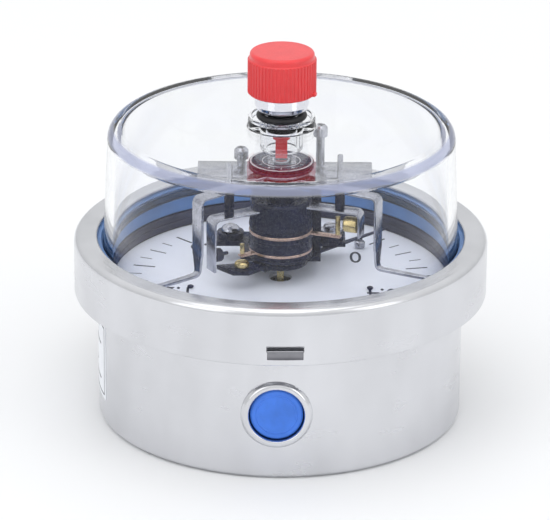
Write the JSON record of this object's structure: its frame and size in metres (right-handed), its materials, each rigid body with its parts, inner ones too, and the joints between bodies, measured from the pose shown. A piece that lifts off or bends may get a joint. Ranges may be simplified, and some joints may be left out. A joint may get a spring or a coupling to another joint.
{
  "type": "contact pressure gauge",
  "caption": "Round steel pressure gauge lying on its back: deep clear window, contact head with set pointers over a white dial, red push-and-turn adjuster and blue vent plug.",
  "frame": {"origin": "centre of the flat case back, on the pointer axis", "axes": "+Z out through the window along the pointer axis, -Y towards twelve o'clock and the vent plug, +Y along the pressure connection, +X towards nine o'clock"},
  "size_m": [0.1132, 0.1436, 0.104],
  "materials": {
    "brushed_stainless": "brushed stainless steel with soft wide reflections",
    "chromed": "polished chrome",
    "plated_steel": "bright plated steel strip and turned screws",
    "brass": "turned brass, unlacquered",
    "bronze": "phosphor bronze",
    "black_moulding": "blue-black insulating moulding, satin",
    "dark_enamel": "dark grey enamel",
    "black_rubber": "black rubber",
    "red_plastic": "moulded red plastic, satin",
    "blue_rubber": "blue rubber",
    "white_enamel": "white dial enamel with black printing",
    "clear_plastic": "clear polycarbonate, glossy"
  },
  "bodies": {
    "case": {"adjuster_bush": "chromed", "adjuster_spring": "plated_steel", "base_pillar_left": "plated_steel", "base_pillar_right": "plated_steel", "base_screw": "brass", "bourdon_tube": "bronze", "bridge_plate": "plated_steel", "bridge_screw_left": "plated_steel", "bridge_screw_right": "plated_steel", "bush_seal": "black_rubber", "case_shell": "brushed_stainless", "contact_base": "black_moulding", "dial": "white_enamel", "dial_screw_left": "plated_steel", "dial_screw_right": "plated_steel", "drum_lower": "black_moulding", "drum_middle": "black_moulding", "drum_top": "black_moulding", "drum_upper": "black_moulding", "gasket": "blue_rubber", "gland_body": "black_moulding", "gland_nut": "black_moulding", "gland_seal": "black_rubber", "label_disc": "black_moulding", "movement_hairspring": "bronze", "movement_lower_plate": "brass", "movement_screw_left": "plated_steel", "movement_screw_right": "plated_steel", "movement_upper_plate": "brass", "pressure_stem": "brushed_stainless", "spacer_ring": "dark_enamel", "stem_seal": "black_rubber", "stop_pin": "plated_steel", "terminal_screw_left": "plated_steel", "terminal_screw_right": "plated_steel", "window": "clear_plastic"},
    "bezel": {"bezel_ring": "brushed_stainless"},
    "vent": {"vent_plug": "blue_rubber"},
    "adjuster_carrier": {"thrust_washer": "plated_steel"},
    "knob": {"knob_cap": "red_plastic", "key_blade": "red_plastic"},
    "key": {"key_hub": "plated_steel"},
    "pointer": {"needle": "dark_enamel", "pinion_arbor": "brass"},
    "sector": {"sector_gear": "brass"},
    "link": {"movement_link": "plated_steel"},
    "tip": {"tube_tip": "brass"},
    "low_set_pointer": {"low_pointer_arm": "plated_steel", "low_post": "black_moulding", "low_bracket": "plated_steel", "low_magnet": "brass"},
    "low_switch_arm": {"low_contact_arm": "bronze", "low_contact": "brass"},
    "high_set_pointer": {"high_pointer_arm": "plated_steel", "high_post": "black_moulding", "high_bracket": "plated_steel", "high_magnet": "dark_enamel"},
    "high_switch_arm": {"high_contact_arm": "bronze", "high_contact": "brass"}
  },
  "joints": [
    {"name": "bezel_turn", "type": "hinge", "parent": "case", "child": "bezel", "pos_m": [0, 0, 0.0436], "axis": [0, 0, 1], "range_deg": [0, 28]},
    {"name": "vent_blowout", "type": "slide", "parent": "case", "child": "vent", "axis": [0, -1, 0], "range_m": [0, 0.012]},
    {"name": "adjuster_push", "type": "slide", "parent": "case", "child": "adjuster_carrier", "axis": [0, 0, -1], "range_m": [0, 0.004], "stiffness_N_per_m": 600, "deforming": ["adjuster_spring"]},
    {"name": "adjuster_turn", "type": "hinge", "parent": "adjuster_carrier", "child": "knob", "pos_m": [0, 0, 0.098], "axis": [0, 0, 1], "continuous": true},
    {"name": "key_turn", "type": "hinge", "parent": "case", "child": "key", "pos_m": [0, 0, 0.0708], "axis": [0, 0, 1], "continuous": true},
    {"name": "pointer_turn", "type": "hinge", "parent": "case", "child": "pointer", "pos_m": [0, 0, 0.0426], "axis": [0, 0, -1], "range_deg": [0, 270]},
    {"name": "sector_turn", "type": "hinge", "parent": "case", "child": "sector", "pos_m": [-0.01131, -0.01131, 0.0187], "axis": [0, 0, 1], "range_deg": [0, 30]},
    {"name": "link_slide", "type": "slide", "parent": "case", "child": "link", "axis": [1, 0, 0], "range_m": [0, 0.00315]},
    {"name": "tip_slide", "type": "slide", "parent": "case", "child": "tip", "axis": [1, 0, 0], "range_m": [0, 0.00315]},
    {"name": "low_pointer_turn", "type": "hinge", "parent": "case", "child": "low_set_pointer", "pos_m": [0, 0, 0.0676], "axis": [0, 0, -1], "range_deg": [-20, 40]},
    {"name": "high_pointer_turn", "type": "hinge", "parent": "case", "child": "high_set_pointer", "pos_m": [0, 0, 0.0689], "axis": [0, 0, -1], "range_deg": [-30, 25]},
    {"name": "low_switch_turn", "type": "hinge", "parent": "low_set_pointer", "child": "low_switch_arm", "pos_m": [0, 0, 0.0529], "axis": [0, 0, -1], "range_deg": [0, 15], "stiffness_Nm_per_rad": 0.0003},
    {"name": "high_switch_turn", "type": "hinge", "parent": "high_set_pointer", "child": "high_switch_arm", "pos_m": [0, 0, 0.0477], "axis": [0, 0, -1], "range_deg": [0, 15], "stiffness_Nm_per_rad": 0.0003}
  ],
  "couplings": [
    {"joint": "key_turn", "follows": "adjuster_turn", "ratio": 1},
    {"joint": "sector_turn", "follows": "pointer_turn", "ratio": 0.11111},
    {"joint": "link_slide", "follows": "pointer_turn", "m_per_rad": 0.0006666},
    {"joint": "tip_slide", "follows": "pointer_turn", "m_per_rad": 0.0006666}
  ]
}
